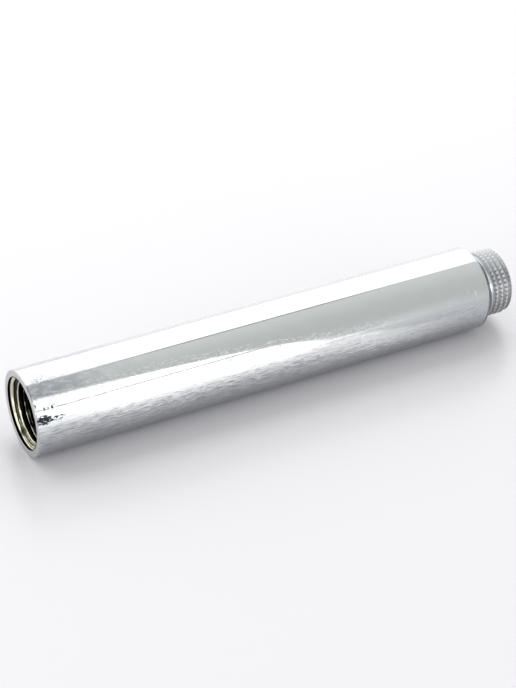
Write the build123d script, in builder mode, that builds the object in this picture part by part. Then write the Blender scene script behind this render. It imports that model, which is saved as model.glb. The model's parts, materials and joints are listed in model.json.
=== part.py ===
"""Pipe extension fitting: a bar-turned brass tube with a threaded socket at one end
and a threaded spigot at the other, plated and polished outside.

Millimetres. The pipe lies on its side along X with its mouth at -X and its spigot at +X.
The origin is under the middle of its length, on the surface that it lies on.
The spigot's thread is drawn as ring grooves of its pitch, depth and flank angle, without the
lead of its turns. The socket is bored to its thread's minor diameter, without the turns.
"""

import os

from build123d import *

# Body
body_diameter = 26.0
body_length = 150.0
waterway_diameter = 15.0
mouth_edge_break = 0.3
shoulder_round = 1.0

# Socket for a G1/2 pipe thread
recess_diameter = 22.0
recess_depth = 0.8
socket_diameter = 18.631
socket_depth = 14.0

# Spigot with a G1/2 pipe thread, its crests cut down a little by the serrations
spigot_diameter = 20.7
spigot_length = 10.0
spigot_chamfer = 0.8
neck_width = 1.2
bore_edge_chamfer = 0.4
thread_pitch = 1.814

# Whitworth thread form as shares of the pitch: flat crest, flank, flat root, flank
depth_share = 0.6403
flat_share = 1 / 6
flank_share = 1 / 3

# Radii and stations that follow from the sizes, with stations measured from the mouth
body_radius = body_diameter / 2
waterway_radius = waterway_diameter / 2
recess_radius = recess_diameter / 2
socket_radius = socket_diameter / 2
spigot_radius = spigot_diameter / 2
root_radius = spigot_radius - depth_share * thread_pitch
total_length = body_length + spigot_length
lead_in_end = recess_depth + recess_radius - socket_radius
socket_end = socket_depth + socket_radius - waterway_radius
neck_end = body_length + neck_width
chamfer_start = total_length - spigot_chamfer

# Thread turns: as many as fit between the neck and the chamfer
flat = flat_share * thread_pitch
flank = flank_share * thread_pitch
thread_start = neck_end + flank
turn_count = int((chamfer_start - thread_start) / thread_pitch)
last_crest = thread_start + turn_count * thread_pitch


def thread_turn(crest):
    """The section of one turn that starts with its crest at this station."""
    return [
        (crest, spigot_radius),
        (crest + flat, spigot_radius),
        (crest + flat + flank, root_radius),
        (crest + flat + flank + flat, root_radius),
    ]


thread_section = []
for turn in range(turn_count):
    thread_section += thread_turn(thread_start + turn * thread_pitch)

# Half-section plane: its x runs along the pipe from the mouth, its y is the distance from the axis
mouth_centre = (-total_length / 2, 0, body_radius)
section_plane = Plane(origin=mouth_centre, x_dir=(1, 0, 0), z_dir=(0, -1, 0))
pipe_axis = Axis(origin=mouth_centre, direction=(1, 0, 0))

with BuildPart() as extension_pipe:
    with BuildSketch(section_plane) as half_section:
        with BuildLine():
            # Mouth face, outer wall and shoulder
            Polyline(
                (0, recess_radius),
                (0, body_radius - mouth_edge_break),
                (mouth_edge_break, body_radius),
                (body_length - shoulder_round, body_radius),
            )
            RadiusArc(
                (body_length - shoulder_round, body_radius),
                (body_length, body_radius - shoulder_round),
                shoulder_round,
            )
            # Relief neck, thread, and the spigot's end face
            Polyline(
                (body_length, body_radius - shoulder_round),
                (body_length, root_radius),
                (neck_end, root_radius),
                *thread_section,
                (last_crest, spigot_radius),
                (chamfer_start, spigot_radius),
                (total_length, spigot_radius - spigot_chamfer),
                (total_length, waterway_radius + bore_edge_chamfer),
                (total_length - bore_edge_chamfer, waterway_radius),
            )
            # Waterway, socket and the recess at the mouth
            Polyline(
                (total_length - bore_edge_chamfer, waterway_radius),
                (socket_end, waterway_radius),
                (socket_depth, socket_radius),
                (lead_in_end, socket_radius),
                (recess_depth, recess_radius),
                (0, recess_radius),
            )
        make_face()
    revolve(axis=pipe_axis)

extension_pipe.part.label = "extension_pipe"

os.makedirs("parts", exist_ok=True)
export_step(extension_pipe.part, "parts/extension_pipe.step")
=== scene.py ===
"""Looks of the pipe extension fitting: the turned pipe with its cut threads, its metal
finishes, and a plain studio round it.

Sizes are millimetres, measured along the pipe from its mouth ("station") and out from its
axis ("radius"). MM turns them into Blender's metres.
"""

import json
import math

import bmesh
import bpy
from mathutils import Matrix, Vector


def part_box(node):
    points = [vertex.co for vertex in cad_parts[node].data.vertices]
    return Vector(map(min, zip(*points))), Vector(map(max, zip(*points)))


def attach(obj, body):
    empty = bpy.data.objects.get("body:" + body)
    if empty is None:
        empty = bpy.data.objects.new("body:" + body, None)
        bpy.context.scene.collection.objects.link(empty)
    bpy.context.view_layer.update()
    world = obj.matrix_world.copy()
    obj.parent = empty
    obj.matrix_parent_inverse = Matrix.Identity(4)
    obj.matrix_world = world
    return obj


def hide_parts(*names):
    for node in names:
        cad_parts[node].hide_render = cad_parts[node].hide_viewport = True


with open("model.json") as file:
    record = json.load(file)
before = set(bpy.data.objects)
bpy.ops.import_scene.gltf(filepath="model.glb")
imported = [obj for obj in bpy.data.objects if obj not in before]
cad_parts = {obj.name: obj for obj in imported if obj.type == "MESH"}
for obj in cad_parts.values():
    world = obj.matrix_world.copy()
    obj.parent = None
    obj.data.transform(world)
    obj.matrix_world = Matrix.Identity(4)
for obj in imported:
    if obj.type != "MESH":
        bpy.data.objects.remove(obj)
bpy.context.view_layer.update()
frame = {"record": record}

MM = 0.001
NODE = "extension_pipe"

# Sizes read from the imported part
mounts = {mount["name"]: mount for mount in frame["record"]["mounts"]}
low_corner, high_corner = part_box(NODE)
MOUTH_X = low_corner.x
AXIS_Z = mounts["spigot"]["pos_m"][2]
TOTAL_LENGTH = (high_corner.x - low_corner.x) / MM
BODY_RADIUS = (high_corner.y - low_corner.y) / 2 / MM
SOCKET_RADIUS = mounts["socket"]["dims"]["r_mm"]
SPIGOT_RADIUS = mounts["spigot"]["dims"]["r_mm"]
WATERWAY_RADIUS = mounts["waterway"]["dims"]["r_mm"]

# Sizes repeated from the part's source
SPIGOT_LENGTH = 10.0
SHOULDER_ROUND = 1.0
MOUTH_EDGE = 0.3
RECESS_RADIUS = 11.0
RECESS_DEPTH = 0.8
SOCKET_DEPTH = 14.0
SPIGOT_CHAMFER = 0.8
NECK_WIDTH = 1.2
BORE_EDGE = 0.4

BODY_LENGTH = TOTAL_LENGTH - SPIGOT_LENGTH
NECK_END = BODY_LENGTH + NECK_WIDTH
SOCKET_END = SOCKET_DEPTH + SOCKET_RADIUS - WATERWAY_RADIUS

# G1/2 pipe thread: 55 degree Whitworth form
PITCH = 1.814
MAJOR_RADIUS = 20.955 / 2
THREAD_DEPTH = 0.640327 * PITCH
THREAD_ROUND = 0.137329 * PITCH
THREAD_ROUND_HALF_ANGLE = math.radians(62.5)
ROUND_POINTS = 5
SOCKET_THREAD_PHASE = 0.87
SPIGOT_THREAD_PHASE = 0.55
SOCKET_RUN_OUT = (11.2, 13.0)

# The spigot's ridges rise from the neck as steeply as the thread's flanks and have flat crests,
# and the first crest still slopes up a little
NECK_RADIUS = SPIGOT_RADIUS - THREAD_DEPTH
RISE_SLOPE = THREAD_DEPTH / (PITCH / 3)
CREST_CUT = 0.09
FIRST_CREST_END = 152.7
FIRST_CREST_SLOPE = 0.18

# Serrations across the spigot's crests, which keep sealing hemp in place
SERRATIONS = 44
SERRATION_POINTS = 12
SERRATION_PHASE = 0.35
SERRATION_DEPTH = 0.36
SERRATION_HALF_WIDTH = 0.28
SERRATION_START = (153.1, 153.7)
NOTCH_FLAT = 0.06

# Mesh: points round the rings, steps of the rounded edges, and small distances between rings
OUTER_POINTS = SERRATIONS * SERRATION_POINTS
INNER_POINTS = OUTER_POINTS // 2
MOUTH_EDGE_STEPS = 5
SHOULDER_STEPS = 8
SHOULDER_END_STEPS = 2
SNAP = 0.03
MERGE = SNAP / 100
EDGE_BREAK = 0.05
SUPPORT = 0.35
WIDE_SUPPORT = 4 * SUPPORT
SHARP_ANGLE = math.radians(38)

# Angle on the shoulder's round where the bright plate ends, in degrees from the pipe's direction; past
# it the spigot's finish paints shade, a darker line round the edge
PLATE_END = 18

# Small marks on the body, as (station, turn in degrees from the back over the top, strength)
STROKES_BY_MOUTH = ((0.45, 140.0, 0.7), (2.8, 146.0, 0.8), (4.0, 146.0, 0.45), (5.2, 146.0, 1.0))
NICKS_BY_SPIGOT = ((144.9, 154.4, 1.0), (142.4, 149.0, 0.4), (145.2, 163.0, 0.6))

# Studio: the horizon's colour, the floor and its fade in metres, and the strip light's radiance
BACKDROP_WHITE = (0.97, 0.965, 0.98, 1.0)
FLOOR_WIDTH = 12.0
FLOOR_FADE = (0.26, 0.62)
STRIP_RADIANCE = 1.42

# Finishes, in the order of the piece's material slots
PLATE, FACE, THREAD, BORE = range(4)

# The photograph's frame and the camera that fits it, placed from the middle of the mouth
IMAGE_HEIGHT = 688
FOCAL_PIXELS = 2050.0
SENSOR = 36.0
CAMERA_OFFSET = Vector((-162.9, -456.0, 332.3))
CAMERA_HEADING = math.radians(27.63)
CAMERA_DIP = math.radians(32.77)


def blend(low, high, value):
    """Smooth step from 0 at low to 1 at high."""
    share = min(1.0, max(0.0, (value - low) / (high - low)))
    return share * share * (3 - 2 * share)


def whitworth_form():
    """One turn's outline as (share of the pitch, share of the depth), from root to root."""
    sweep = [
        THREAD_ROUND_HALF_ANGLE * (2 * step / (ROUND_POINTS - 1) - 1)
        for step in range(ROUND_POINTS)
    ]
    root = []
    crest = []
    for angle in sweep:
        along = THREAD_ROUND * math.sin(angle) / PITCH
        rise = THREAD_ROUND * (1 - math.cos(angle)) / THREAD_DEPTH
        root.append((along, rise))
        crest.append((0.5 + along, 1 - rise))
    up_flank = (0.25, 0.5)
    down_flank = (0.75, 0.5)
    return root + [up_flank] + crest + [down_flank]


FORM = whitworth_form()


def form_height(share):
    """Share of the thread's depth at any share of the pitch."""
    first = FORM[0][0]
    share = (share - first) % 1.0 + first
    closed = FORM + [(FORM[0][0] + 1, FORM[0][1])]
    for (left, left_height), (right, right_height) in zip(closed, closed[1:]):
        if left <= share <= right:
            part = (share - left) / (right - left)
            return left_height + part * (right_height - left_height)
    return 0.0


def socket_radius(station, turn, height):
    """Wall of the socket: the thread's grooves, opened by the lead-in at the mouth."""
    run_out = 1 - blend(*SOCKET_RUN_OUT, station)
    groove = SOCKET_RADIUS + (MAJOR_RADIUS - SOCKET_RADIUS) * height * run_out
    lead_in = RECESS_RADIUS - (station - RECESS_DEPTH)
    return max(groove, lead_in)


def serration(turn):
    """1 at the bottom of a notch, 0 on the crest between two notches."""
    share = (turn * SERRATIONS / math.tau - SERRATION_PHASE) % 1.0
    return max(0.0, 1 - abs(share - 0.5) / SERRATION_HALF_WIDTH)


def spigot_radius(station, turn, height):
    """Outside of the spigot: serrated thread between the neck's rise and the end chamfer."""
    ridge = NECK_RADIUS + (THREAD_DEPTH + CREST_CUT) * height
    notch = SERRATION_DEPTH * serration(turn) * blend(*SERRATION_START, station)
    rise = NECK_RADIUS + RISE_SLOPE * (station - NECK_END)
    first_crest = SPIGOT_RADIUS - FIRST_CREST_SLOPE * max(0.0, FIRST_CREST_END - station)
    chamfer = SPIGOT_RADIUS - (station - (TOTAL_LENGTH - SPIGOT_CHAMFER))
    return min(ridge, SPIGOT_RADIUS - notch, rise, first_crest, chamfer)


class Turning:
    """Rings of points round the pipe's axis, and the faces that join them."""

    def __init__(self):
        self.points = []
        self.faces = []
        self.finishes = []

    def point(self, station, radius, turn):
        across = radius * MM * math.cos(turn)
        up = radius * MM * math.sin(turn)
        self.points.append((MOUTH_X + station * MM, across, AXIS_Z + up))
        return len(self.points) - 1

    def ring(self, station, radius, count):
        return [self.point(station, radius, math.tau * step / count) for step in range(count)]

    def face(self, corners, finish):
        distinct = list(dict.fromkeys(corners))
        if len(distinct) > 2:
            self.faces.append(distinct)
            self.finishes.append(finish)

    def band(self, one, two, finish):
        """Joins two rings of the same count, or a ring to one of half its count."""
        if len(one) < len(two):
            one, two = two, one
        count = len(two)
        for step in range(count):
            after = (step + 1) % count
            if len(one) == count:
                self.face((one[step], one[after], two[after], two[step]), finish)
                continue
            start, middle, end = one[2 * step], one[2 * step + 1], one[2 * after]
            self.face((start, middle, two[step]), finish)
            self.face((middle, two[after], two[step]), finish)
            self.face((middle, end, two[after]), finish)

    def run(self, first, outline, finish):
        """Joins a ring to a row of (station, radius) rings and returns the last one."""
        for station, radius in outline:
            ring = self.ring(station, radius, len(first))
            self.band(first, ring, finish)
            first = ring
        return first

    def thread(self, first, station_from, station_to, phase, radius_at, finish):
        """Helical wall from a ring to a new ring: its rows of points follow the thread's turns."""
        count = len(first)
        turns = [math.tau * step / count for step in range(count)]

        def height_at(station, turn):
            return form_height((station - phase) / PITCH - turn / math.tau)

        last = [
            self.point(station_to, radius_at(station_to, turn, height_at(station_to, turn)), turn)
            for turn in turns
        ]
        lowest = math.floor((station_from - phase) / PITCH) - 2
        highest = math.ceil((station_to - phase) / PITCH) + 2
        rows = []
        for cycle in range(lowest, highest):
            for share, height in FORM:
                row = []
                for step, turn in enumerate(turns):
                    station = phase + PITCH * (cycle + share + turn / math.tau)
                    if station < station_from + SNAP:
                        row.append(first[step])
                    elif station > station_to - SNAP:
                        row.append(last[step])
                    else:
                        row.append(self.point(station, radius_at(station, turn, height), turn))
                rows.append(row)
        a_turn = len(FORM)
        for index in range(len(rows) - a_turn - 1):
            for step in range(count):
                after, lift = (step + 1, 0) if step + 1 < count else (0, a_turn)
                corners = (
                    rows[index][step],
                    rows[index + 1][step],
                    rows[index + 1 + lift][after],
                    rows[index + lift][after],
                )
                self.face(corners, finish)
        return last


def arc(centre_station, centre_radius, size, angle_from, angle_to, steps):
    """Points of a rounded edge in the half-section, after its first one."""
    outline = []
    for step in range(1, steps + 1):
        angle = math.radians(angle_from + (angle_to - angle_from) * step / steps)
        station = centre_station + size * math.cos(angle)
        radius = centre_radius + size * math.sin(angle)
        outline.append((station, radius))
    return outline


def turn_pipe():
    """The whole pipe as one closed mesh, section by section from the mouth and back to it."""
    work = Turning()

    # Mouth face, outer wall and shoulder
    rim = work.ring(0.0, BODY_RADIUS - MOUTH_EDGE - SUPPORT, OUTER_POINTS)
    outer = work.run(rim, [(0.0, BODY_RADIUS - MOUTH_EDGE)], FACE)
    mouth_edge = arc(MOUTH_EDGE, BODY_RADIUS - MOUTH_EDGE, MOUTH_EDGE, 180, 90, MOUTH_EDGE_STEPS)
    outer = work.run(outer, mouth_edge, PLATE)
    shoulder_start = BODY_LENGTH - SHOULDER_ROUND
    wall = [
        (MOUTH_EDGE + SUPPORT, BODY_RADIUS),
        (MOUTH_EDGE + WIDE_SUPPORT, BODY_RADIUS),
        (BODY_LENGTH / 2, BODY_RADIUS),
        (shoulder_start - WIDE_SUPPORT, BODY_RADIUS),
        (shoulder_start - SUPPORT, BODY_RADIUS),
        (shoulder_start, BODY_RADIUS),
    ]
    outer = work.run(outer, wall, PLATE)
    shoulder_radius = BODY_RADIUS - SHOULDER_ROUND
    shoulder = (shoulder_start, shoulder_radius, SHOULDER_ROUND)
    outer = work.run(outer, arc(*shoulder, 90, PLATE_END, SHOULDER_STEPS), PLATE)
    # Past the plate's end the round takes the spigot's finish, which paints shade on it
    outer = work.run(outer, arc(*shoulder, PLATE_END, 0, SHOULDER_END_STEPS), THREAD)
    outer = work.run(outer, [(BODY_LENGTH, shoulder_radius - SUPPORT)], THREAD)

    # Shoulder face, relief neck and threaded spigot
    neck = [
        (BODY_LENGTH, NECK_RADIUS + EDGE_BREAK),
        (BODY_LENGTH + EDGE_BREAK, NECK_RADIUS),
        (NECK_END, NECK_RADIUS),
    ]
    outer = work.run(outer, neck, THREAD)
    spigot_phase = BODY_LENGTH + SPIGOT_THREAD_PHASE
    tip = work.thread(outer, NECK_END, TOTAL_LENGTH, spigot_phase, spigot_radius, THREAD)

    # End face and waterway
    bore = work.ring(TOTAL_LENGTH, WATERWAY_RADIUS + BORE_EDGE, INNER_POINTS)
    work.band(tip, bore, FACE)
    waterway = [
        (TOTAL_LENGTH - BORE_EDGE, WATERWAY_RADIUS),
        (TOTAL_LENGTH - BORE_EDGE - SUPPORT, WATERWAY_RADIUS),
        (SOCKET_END + SUPPORT, WATERWAY_RADIUS),
        (SOCKET_END, WATERWAY_RADIUS),
        (SOCKET_DEPTH, SOCKET_RADIUS),
    ]
    bore = work.run(bore, waterway, BORE)

    # Mouth face, recess and threaded socket
    lip = work.ring(0.0, RECESS_RADIUS + EDGE_BREAK, INNER_POINTS)
    work.band(rim, lip, FACE)
    lip = work.run(lip, [(EDGE_BREAK, RECESS_RADIUS)], FACE)
    recess = work.run(lip, [(RECESS_DEPTH, RECESS_RADIUS)], BORE)
    socket = work.thread(recess, RECESS_DEPTH, SOCKET_DEPTH, SOCKET_THREAD_PHASE, socket_radius, BORE)
    work.band(socket, bore, BORE)
    return work


def mesh_object(name, work, finishes):
    """Closed mesh object with outward faces, smooth but for its sharp edges."""
    mesh = bpy.data.meshes.new(name)
    mesh.from_pydata(work.points, [], work.faces)
    for finish in finishes:
        mesh.materials.append(finish)
    mesh.polygons.foreach_set("material_index", work.finishes)
    mesh.polygons.foreach_set("use_smooth", [True] * len(mesh.polygons))
    shell = bmesh.new()
    shell.from_mesh(mesh)
    bmesh.ops.remove_doubles(shell, verts=shell.verts, dist=MERGE * MM)
    loose = [vertex for vertex in shell.verts if not vertex.link_faces]
    bmesh.ops.delete(shell, geom=loose, context="VERTS")
    bmesh.ops.recalc_face_normals(shell, faces=shell.faces)
    shell.to_mesh(mesh)
    shell.free()
    mesh.set_sharp_from_angle(angle=SHARP_ANGLE)
    piece = bpy.data.objects.new(name, mesh)
    bpy.context.scene.collection.objects.link(piece)
    return piece


class Nodes:
    """Short ways to add nodes to a material's or the surround's node tree."""

    # The mix node's sockets that carry colours
    COLOUR_INPUTS = (6, 7)
    COLOUR_OUTPUT = 2

    def __init__(self, tree):
        self.tree = tree

    def plug(self, socket, value):
        if isinstance(value, bpy.types.NodeSocket):
            self.tree.links.new(value, socket)
        else:
            socket.default_value = value

    def node(self, kind, inputs=None, **settings):
        made = self.tree.nodes.new(kind)
        for key, value in settings.items():
            setattr(made, key, value)
        for key, value in (inputs or {}).items():
            self.plug(made.inputs[key], value)
        return made

    def ramp(self, value, low, high, out_low=0.0, out_high=1.0):
        """Smooth step from one output at low to the other at high."""
        ends = {"From Min": low, "From Max": high, "To Min": out_low, "To Max": out_high}
        made = self.node("ShaderNodeMapRange", {"Value": value, **ends}, interpolation_type="SMOOTHSTEP")
        return made.outputs["Result"]

    def fade(self, value, low, high, strength=1.0):
        """Smooth step from a strength at low to 0 at high."""
        return self.ramp(value, low, high, strength, 0.0)

    def window(self, value, rise, fall):
        """Smooth step up over one range and down again over the other."""
        return self.times(self.ramp(value, *rise), self.fade(value, *fall))

    def maths(self, operation, first, *others):
        """An operation on two values, or on more of them in turn."""
        for other in others:
            made = self.node("ShaderNodeMath", {0: first, 1: other}, operation=operation)
            first = made.outputs["Value"]
        return first

    def times(self, *values):
        return self.maths("MULTIPLY", *values)

    def plus(self, *values):
        return self.maths("ADD", *values)

    def minus(self, one, two):
        return self.maths("SUBTRACT", one, two)

    def largest(self, *values):
        return self.maths("MAXIMUM", *values)

    def mix(self, share, one, two):
        made = self.node("ShaderNodeMix", {"Factor": share}, data_type="RGBA")
        for index, value in zip(self.COLOUR_INPUTS, (one, two)):
            self.plug(made.inputs[index], value)
        return made.outputs[self.COLOUR_OUTPUT]

    def vector(self, operation, one, two=(0.0, 0.0, 0.0)):
        return self.node("ShaderNodeVectorMath", {0: one, 1: two}, operation=operation).outputs

    def split(self, vector):
        return self.node("ShaderNodeSeparateXYZ", {0: vector}).outputs

    def join(self, **parts):
        return self.node("ShaderNodeCombineXYZ", parts).outputs["Vector"]


class Finish(Nodes):
    """A node material, with places on the pipe in millimetres to lay its marks by.

    The station is the distance from the mouth, and the height is over the pipe's axis.
    """

    def __init__(self, name):
        self.material = bpy.data.materials.new(name)
        self.material.use_nodes = True
        super().__init__(self.material.node_tree)
        self.shader = self.tree.nodes["Principled BSDF"]
        self.place = self.node("ShaderNodeTexCoord").outputs["Object"]
        from_mouth = self.vector("SUBTRACT", self.place, (MOUTH_X, 0.0, AXIS_Z))["Vector"]
        self.local = self.vector("MULTIPLY", from_mouth, (1 / MM,) * 3)["Vector"]
        self.station, self.across, self.height = self.split(self.local)

    def feed(self, **values):
        for key, value in values.items():
            self.plug(self.shader.inputs[key.replace("_", " ")], value)

    def radius(self):
        """Distance from the pipe's axis."""
        return self.vector("LENGTH", self.join(Y=self.across, Z=self.height))["Value"]

    def turn(self):
        """Angle round the pipe's axis in degrees, from the back over the top."""
        return self.maths("DEGREES", self.maths("ARCTAN2", self.height, self.across), 0.0)

    def helix(self):
        """Distance from the mouth less the thread's advance round the pipe."""
        return self.minus(self.station, self.times(self.turn(), PITCH / 360))

    def grains(self, along, across):
        """The place on the pipe, counted in grains of the given size."""
        scale = (1 / (along * MM), 1 / (across * MM), 1 / (across * MM))
        return self.node("ShaderNodeMapping", {"Vector": self.place, "Scale": scale}).outputs["Vector"]

    def rings(self, size):
        """The place along the pipe and out from its axis, counted in grains of a size."""
        turned = self.join(X=self.station, Y=self.radius())
        return self.vector("MULTIPLY", turned, (1 / size,) * 3)["Vector"]

    def noise(self, vector, detail=3.0, roughness=0.55):
        inputs = {"Vector": vector, "Scale": 1.0, "Detail": detail, "Roughness": roughness}
        return self.node("ShaderNodeTexNoise", inputs).outputs["Fac"]

    def blotches(self, size, limits, strengths=(0.0, 1.0), detail=3.0):
        """Noise in grains of a size along and across the pipe, stepped up between two limits."""
        return self.ramp(self.noise(self.grains(*size), detail), *limits, *strengths)

    def notches(self):
        """1 in the middle of each serration's notch, 0 on the crest beside it."""
        counted = self.plus(self.times(self.turn(), SERRATIONS / 360), SERRATIONS - SERRATION_PHASE)
        share = self.maths("FRACT", counted, 0.0)
        off_centre = self.maths("ABSOLUTE", self.plus(share, -0.5), 0.0)
        return self.fade(off_centre, NOTCH_FLAT, SERRATION_HALF_WIDTH)

    def bump(self, height, depth, under=None):
        """Bump of the given depth, laid over another one."""
        inputs = {"Height": height, "Strength": 1.0, "Distance": depth * MM}
        if under is not None:
            inputs["Normal"] = under
        return self.node("ShaderNodeBump", inputs).outputs["Normal"]

    def spot(self, station, turn_degrees, size):
        """1 in the middle of an oval spot on the body's outer wall, falling to 0 at its edge."""
        turn = math.radians(turn_degrees)
        centre = (station, BODY_RADIUS * math.cos(turn), BODY_RADIUS * math.sin(turn))
        offset = self.vector("SUBTRACT", self.local, centre)["Vector"]
        scaled = self.vector("MULTIPLY", offset, tuple(1 / length for length in size))["Vector"]
        return self.fade(self.vector("LENGTH", scaled)["Value"], 0.25, 1.0)

    def marks(self, marks, size, limits):
        """Share of small spots that are given as (station, turn in degrees, strength)."""
        share = 0.0
        for station, turn, strength in marks:
            mark = self.ramp(self.spot(station, turn, size), *limits)
            share = self.largest(share, self.times(mark, strength))
        return share


def film_and_shade_by_spigot(finish):
    """Share of a soft film low on the pipe, towards the spigot: it roughens the plate there and paints
    shade on it.
    """
    return finish.times(finish.ramp(finish.station, 90.0, 130.0), finish.fade(finish.height, 4.5, 8.0))


def dulling_and_shade(finish):
    """Share of dulling, mostly low on the pipe: lengthwise scratches and a film, with painted streaks of
    reflection and painted shade.
    """
    # Lengthwise scratches, which in the colour are also painted streaks of reflection
    scratches_and_streaks = finish.blotches((6.5, 0.75), (0.36, 0.68), detail=4.0)
    fine_scratches_and_streaks = finish.blotches((2.6, 0.45), (0.45, 0.62))
    by_mouth = finish.fade(finish.station, 8.0, 45.0)
    scratches_and_streaks = finish.largest(scratches_and_streaks, finish.times(fine_scratches_and_streaks, by_mouth))
    fewer_by_spigot = finish.ramp(finish.station, 90.0, BODY_LENGTH, 1.0, 0.25)
    low_side = finish.ramp(finish.height, -1.0, 3.5, 1.0, 0.04)
    scratched_and_streaked = finish.times(scratches_and_streaks, fewer_by_spigot, low_side)
    # Painted shade low on the pipe towards the spigot
    darkened = finish.times(film_and_shade_by_spigot(finish), finish.fade(finish.height, 3.4, 5.8, 0.95))
    # Painted darker reflection all round by the mouth, mottled
    mottling = finish.blotches((5.0, 3.0), (0.3, 0.65), detail=5.0)
    darker_by_mouth = finish.times(mottling, finish.ramp(by_mouth, 0.0, 1.0, 0.1, 0.95))
    return finish.largest(scratched_and_streaked, darkened, darker_by_mouth)


def scoring_and_streaks(finish):
    """Fine lengthwise scoring low on the pipe, deepest near the mouth; its lines also paint dark streaks
    of reflection.
    """
    lines = finish.blotches((3.6, 0.38), (0.5, 0.58), detail=4.0)
    deeper_by_mouth = finish.ramp(finish.station, 70.0, 140.0, 2.2, 1.0)
    low_side = finish.window(finish.height, (-10.0, -5.0), (1.2, 3.4))
    return finish.times(lines, deeper_by_mouth, low_side)


def bright_streaks(finish):
    """Share of painted highlight: bright streaks low on the pipe that close up towards their top."""
    slant = finish.ramp(finish.station, 85.0, 130.0, 0.0, 4.5)
    height = finish.plus(finish.height, slant)
    closing = finish.ramp(height, -5.0, 3.8, -0.14, 0.17)
    lines = finish.plus(finish.noise(finish.grains(3.2, 0.36), detail=5.0), closing)
    streaks = finish.times(finish.ramp(lines, 0.53, 0.58), finish.fade(height, 4.6, 6.0))
    from_mouth = finish.ramp(finish.station, 5.0, 34.0, 0.3, 1.0)
    to_spigot = finish.fade(finish.station, 102.0, 148.0)
    return finish.times(streaks, from_mouth, to_spigot)


def pits(finish):
    """Sparse fine pits on the front, in a band that slants down from the mouth and thins out."""
    slant = finish.ramp(finish.station, 26.0, 112.0, 0.0, 26.0)
    band = finish.window(finish.minus(finish.turn(), slant), (124.0, 132.0), (140.0, 146.0))
    thinning = finish.fade(finish.station, 75.0, 128.0)
    specks = finish.blotches((1.0, 0.32), (0.6, 0.66), (0.0, 1.5), detail=2.0)
    return finish.times(specks, band, thinning)


def darker_band_by_mouth(finish):
    """Share of painted darker reflection in a band along the upper front, near the mouth."""
    band = finish.window(finish.turn(), (102.0, 109.0), (131.0, 137.0))
    by_mouth = finish.fade(finish.station, 5.0, 24.0, 0.9)
    band_mottling = finish.blotches((2.4, 0.9), (0.36, 0.58), (0.2, 1.0), detail=5.0)
    return finish.times(band, by_mouth, band_mottling)


def scuff_by_mouth(finish):
    """Share of wear by the mouth: a dark grainy scuff with a tail, small strokes and a graze on top."""
    grain = finish.noise(finish.grains(1.25, 0.42), detail=6.0, roughness=0.68)
    core = finish.spot(2.0, 159.5, (4.2, 2.5, 2.5))
    tail = finish.spot(6.4, 160.5, (5.2, 1.7, 1.7))
    scuffed = finish.largest(core, finish.times(tail, 0.72))
    grainy = finish.ramp(finish.plus(grain, finish.times(scuffed, 0.35)), 0.735, 0.775)
    scuff = finish.times(grainy, finish.ramp(scuffed, 0.0, 0.2))
    strokes = finish.marks(STROKES_BY_MOUTH, (0.4, 0.75, 0.75), (0.2, 0.6))
    grazed = finish.blotches((0.55, 0.8), (0.535, 0.6), (0.0, 0.4))
    graze = finish.times(grazed, finish.spot(4.6, 104.0, (3.6, 3.6, 1.6)))
    return finish.largest(scuff, strokes, graze)


def dark_edge(finish):
    """Share of painted shade in a thin line round the shoulder's edge, broader on the lower side."""
    broader = finish.fade(finish.height, -6.0, 6.0, 0.55)
    line = finish.ramp(finish.plus(finish.station, broader), BODY_LENGTH - 0.8, BODY_LENGTH - 0.5)
    return finish.times(line, finish.fade(finish.height, -4.0, 6.0, 0.9))


def polished_plate():
    """Mirror chrome with polishing streaks, scoring and wear, and painted shade and streaks of
    reflection.
    """
    finish = Finish("polished_plate")
    clean = (0.70, 0.705, 0.715, 1.0)
    dull = (0.55, 0.57, 0.595, 1.0)
    shade_grey = (0.41, 0.425, 0.455, 1.0)
    band_shade_grey = (0.40, 0.405, 0.45, 1.0)
    edge_shade_black = (0.12, 0.125, 0.13, 1.0)
    bright = (0.90, 0.905, 0.915, 1.0)
    dark = (0.30, 0.315, 0.35, 1.0)
    bare = (0.03, 0.035, 0.045, 1.0)

    dulled_and_shaded = dulling_and_shade(finish)
    underside = finish.fade(finish.height, -9.0, -1.5)
    scored_and_streaked = scoring_and_streaks(finish)
    wear = scuff_by_mouth(finish)
    nicked = finish.marks(NICKS_BY_SPIGOT, (0.4, 1.3, 1.3), (0.1, 0.6))

    # Painted shade on the underside, over the dulling with its painted streaks and shade
    colour = finish.mix(underside, finish.mix(dulled_and_shaded, clean, dull), shade_grey)
    # The scoring's lines, darkened in the colour: painted dark streaks of reflection
    colour = finish.mix(finish.times(scored_and_streaked, 0.28), colour, dark)
    # Painted highlight: bright streaks low on the pipe
    colour = finish.mix(bright_streaks(finish), colour, bright)
    # Painted darker reflection in a band along the upper front by the mouth
    colour = finish.mix(darker_band_by_mouth(finish), colour, band_shade_grey)
    # Painted shade in a line round the shoulder's edge
    colour = finish.mix(dark_edge(finish), colour, edge_shade_black)
    colour = finish.mix(wear, colour, bare)

    roughness = finish.plus(
        finish.blotches((9.0, 7.0), (0.35, 0.8), (0.04, 0.085), detail=5.0),
        finish.times(dulled_and_shaded, 0.05),
        finish.times(film_and_shade_by_spigot(finish), 0.16),
        finish.times(nicked, 0.35),
        finish.times(wear, 0.35),
    )

    surface = finish.bump(finish.noise(finish.grains(30.0, 2.4)), 0.004)
    surface = finish.bump(dulled_and_shaded, 0.011, surface)
    surface = finish.bump(finish.plus(scored_and_streaked, pits(finish)), 0.03, surface)
    surface = finish.bump(wear, 0.02, surface)

    finish.feed(Metallic=1.0, Base_Color=colour, Roughness=roughness, Normal=surface)
    return finish.material


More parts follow.
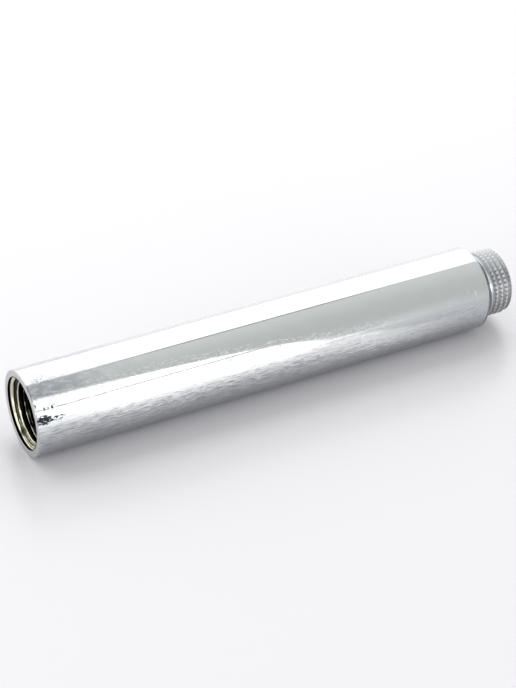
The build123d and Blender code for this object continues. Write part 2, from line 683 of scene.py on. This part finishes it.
def turned_face():
    """Plated end faces with the lathe's rings still in them."""
    finish = Finish("turned_face")
    light = (0.58, 0.585, 0.595, 1.0)
    dull = (0.50, 0.505, 0.52, 1.0)
    rings = finish.noise(finish.rings(0.16), detail=2.0)
    cloud = finish.noise(finish.grains(2.5, 2.5), detail=4.0)
    finish.feed(
        Metallic=1.0,
        Base_Color=finish.mix(cloud, light, dull),
        Roughness=finish.ramp(rings, 0.3, 0.7, 0.26, 0.36),
        Normal=finish.bump(rings, 0.004),
    )
    return finish.material


def plated_thread():
    """Satin plate on the spigot: painted shade in grooves and notches, on the chamfer, top, front and
    underside, and a glint on the first crest.
    """
    finish = Finish("plated_thread")
    clean = (0.72, 0.73, 0.74, 1.0)
    groove_grey = (0.64, 0.65, 0.66, 1.0)
    shade_grey = (0.40, 0.41, 0.435, 1.0)
    black = (0.12, 0.125, 0.13, 1.0)

    cloud = finish.noise(finish.grains(1.2, 1.2), detail=5.0)
    tool_marks = finish.noise(finish.rings(0.12), detail=2.0)
    height = finish.height
    raised = finish.ramp(finish.radius(), NECK_RADIUS + 0.2, SPIGOT_RADIUS - 0.2)
    # Painted shade: darker in the grooves than on the crests, in patches
    crest_share = finish.ramp(finish.plus(raised, finish.times(cloud, 0.3)), 0.1, 1.05)
    serrated = finish.ramp(finish.station, *SERRATION_START)

    # Painted shade in the notches, fading towards the top, and on the chamfer
    notch_shade = finish.ramp(height, 7.4, 9.2, 0.74, 0.15)
    notches = finish.times(finish.notches(), serrated, raised, notch_shade)
    chamfer_start = TOTAL_LENGTH - SPIGOT_CHAMFER
    chamfer_rise = (chamfer_start - 0.1, chamfer_start + 0.1)
    chamfer_fall = (TOTAL_LENGTH - 0.25, TOTAL_LENGTH - 0.1)
    chamfer = finish.times(finish.window(finish.station, chamfer_rise, chamfer_fall), 0.6)
    dark = finish.largest(notches, chamfer)

    # Painted shade on the first crest, front, top and underside, which leaves the first crest bright in
    # a short glint
    glint = finish.window(height, (2.6, 3.8), (4.8, 5.8))
    plain_crest = finish.times(finish.fade(serrated, 0.0, 1.0), raised)
    crest_shade = finish.times(plain_crest, finish.fade(glint, 0.0, 1.0, 0.65))
    front_shade = finish.times(finish.window(height, (3.4, 4.8), (6.8, 8.2)), serrated, 0.45)
    top_shade = finish.ramp(height, 8.4, 9.6, 0.0, 0.26)
    underside_shade = finish.fade(height, -6.0, 1.0, 0.4)
    darkened = finish.largest(underside_shade, front_shade, crest_shade, top_shade)

    metal = finish.mix(darkened, finish.mix(crest_share, groove_grey, clean), shade_grey)
    satin = finish.ramp(cloud, 0.3, 0.7, 0.30, 0.42)
    rubbed = finish.ramp(glint, 0.0, 1.0, 1.0, 0.35)
    finish.feed(
        Metallic=1.0,
        Base_Color=finish.mix(dark, metal, black),
        Roughness=finish.times(satin, finish.largest(serrated, rubbed)),
        Normal=finish.bump(tool_marks, 0.005),
    )
    return finish.material


def bare_bore():
    """Thinly plated brass inside: pale straw metal on the lead-in and crests, a dark film elsewhere,
    painted shade in the recess and further in, and darker grooves and bottom.
    """
    finish = Finish("bare_bore")
    pale = (0.64, 0.625, 0.51, 1.0)
    brown = (0.055, 0.047, 0.024, 1.0)
    black = (0.016, 0.014, 0.008, 1.0)

    film = finish.noise(finish.grains(1.8, 3.0), detail=5.0)
    tool_marks = finish.noise(finish.rings(0.14), detail=2.0)
    station = finish.station
    radius = finish.radius()
    # Painted shade in the recess and further into the bore; darker in the thread's grooves
    recess = finish.ramp(radius, RECESS_RADIUS - 0.12, RECESS_RADIUS - 0.04)
    past_lead_in = finish.ramp(finish.helix(), 1.45, 1.65)
    below_crests = finish.ramp(radius, SOCKET_RADIUS + 0.12, SOCKET_RADIUS + 0.4)
    groove = finish.times(past_lead_in, below_crests)
    deep = finish.times(finish.window(station, (2.9, 4.2), (SOCKET_END, TOTAL_LENGTH)), 0.8)
    dark = finish.largest(deep, recess, groove)
    # Darker towards the bottom
    upper_side = finish.ramp(finish.height, -7.0, 2.0)
    turned = finish.ramp(finish.noise(finish.rings(0.3), detail=1.0), 0.42, 0.58)
    worn = finish.times(turned, finish.fade(upper_side, 0.0, 1.0, 0.25))
    cover = finish.minus(finish.plus(film, finish.times(dark, 0.5)), worn)
    covered = finish.ramp(cover, 0.6, 0.85)
    drilled = finish.ramp(station, SOCKET_DEPTH, SOCKET_END, 0.0, 0.26)
    finish.feed(
        Metallic=1.0,
        Base_Color=finish.mix(covered, pale, finish.mix(upper_side, brown, black)),
        Roughness=finish.plus(finish.ramp(tool_marks, 0.3, 0.7, 0.08, 0.18), drilled),
        Normal=finish.bump(tool_marks, 0.004),
    )
    return finish.material


def pale_floor():
    """Plain satin floor, wider than any view, that fades into the white backdrop away from the pipe."""
    half = FLOOR_WIDTH / 2
    mesh = bpy.data.meshes.new("floor")
    corners = [(-half, -half, 0.0), (half, -half, 0.0), (half, half, 0.0), (-half, half, 0.0)]
    mesh.from_pydata(corners, [], [(0, 1, 2, 3)])
    finish = Finish("pale_floor")
    pale = (0.88, 0.86, 0.885, 1.0)
    black = (0.0, 0.0, 0.0, 1.0)
    rays = finish.node("ShaderNodeLightPath").outputs
    seen = finish.plus(rays["Is Camera Ray"], rays["Is Glossy Ray"], rays["Is Transmission Ray"])
    distance = finish.vector("LENGTH", finish.place)["Value"]
    faded = finish.ramp(distance, *FLOOR_FADE)
    backdrop = finish.times(finish.maths("MINIMUM", seen, 1.0), faded)
    finish.feed(
        Base_Color=finish.mix(backdrop, pale, black),
        Roughness=0.22,
        Specular_IOR_Level=0.4,
        Emission_Color=BACKDROP_WHITE,
        Emission_Strength=backdrop,
    )
    mesh.materials.append(finish.material)
    floor = bpy.data.objects.new("floor", mesh)
    bpy.context.scene.collection.objects.link(floor)


def softbox(name, centre, towards, size, radiance):
    """A flat soft light of the given radiance, in metres, facing a direction."""
    width, height = size
    light = bpy.data.lights.new(name, "AREA")
    light.shape = "RECTANGLE"
    light.size = width
    light.size_y = height
    light.energy = radiance * math.pi * width * height
    lamp = bpy.data.objects.new(name, light)
    lamp.location = centre
    lamp.rotation_euler = Vector(towards).to_track_quat("-Z", "Y").to_euler()
    lamp.visible_camera = False
    bpy.context.scene.collection.objects.link(lamp)


def grey_room():
    """The world: a grey room that is lighter overhead, with a white horizon and a dark ceiling edge."""
    ceiling = (0.84, 0.865, 0.85, 1.0)
    front = (0.66, 0.69, 0.67, 1.0)
    shade = (0.34, 0.35, 0.35, 1.0)
    edge = (0.1, 0.1, 0.105, 1.0)
    ceiling_edge = math.radians(13)
    world = bpy.data.worlds.new("studio")
    bpy.context.scene.world = world
    world.use_nodes = True
    world.node_tree.nodes.clear()
    room = Nodes(world.node_tree)
    heading = room.node("ShaderNodeTexCoord").outputs["Generated"]
    right, back, up = room.split(heading)
    to_front = (0.0, -math.cos(ceiling_edge), math.sin(ceiling_edge))
    lean = room.vector("DOT_PRODUCT", heading, to_front)["Value"]
    near_side = room.ramp(right, -0.05, 0.2)
    far_side = room.fade(right, 0.8, 0.97)
    ahead = room.fade(back, -0.3, 0.0)
    above_horizon = room.ramp(up, 0.12, 0.22)
    edge_line = room.times(room.window(lean, (-0.02, 0.005), (0.03, 0.075)), 0.55)
    edge_length = room.window(right, (0.31, 0.36), (0.42, 0.47))
    lit = room.mix(room.ramp(lean, 0.0, 0.9), ceiling, front)
    lit = room.mix(room.times(edge_line, edge_length), lit, edge)
    grey = room.mix(room.times(near_side, far_side), shade, lit)
    walls = room.largest(above_horizon, room.times(near_side, ahead))
    sky = room.node("ShaderNodeBackground", {"Color": room.mix(walls, BACKDROP_WHITE, grey)})
    room.node("ShaderNodeOutputWorld", {"Surface": sky.outputs["Background"]})


def studio():
    """Grey room with a wide soft light behind, a strip light in front and two lights on the left."""
    grey_room()
    softbox("back_light", (-0.1, 0.58, 0.55), (0.0, -0.58, -0.55), (2.0, 1.08), 1.02)
    for name, middle, height in (("front_strip_low", 0.179, 0.318), ("front_strip_high", 0.7825, 0.815)):
        softbox(name, (0.14, -0.6, middle), (0.0, 1.0, 0.0), (0.28, height), STRIP_RADIANCE)
    softbox("left_light", (-0.95, -0.22, 0.33), (0.95, 0.22, -0.33), (0.95, 0.5), 1.2)
    softbox("kicker", (-0.90, -0.44, 0.28), (0.90, 0.44, -0.28), (0.2, 0.25), 6.0)


def photo_camera():
    """Camera at the photograph's viewing angle."""
    view = bpy.data.cameras.new("camera")
    view.sensor_width = SENSOR
    view.lens = FOCAL_PIXELS * SENSOR / IMAGE_HEIGHT
    view.clip_start = 0.01
    camera = bpy.data.objects.new("camera", view)
    camera.location = Vector((MOUTH_X, 0.0, AXIS_Z)) + CAMERA_OFFSET * MM
    camera.rotation_euler = (math.pi / 2 - CAMERA_DIP, 0.0, -CAMERA_HEADING)
    bpy.context.scene.collection.objects.link(camera)
    bpy.context.scene.camera = camera


pipe = mesh_object(
    "turned_pipe",
    turn_pipe(),
    [polished_plate(), turned_face(), plated_thread(), bare_bore()],
)
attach(pipe, "root")
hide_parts(NODE)

pale_floor()
studio()
photo_camera()
bpy.context.scene.view_settings.view_transform = "Standard"
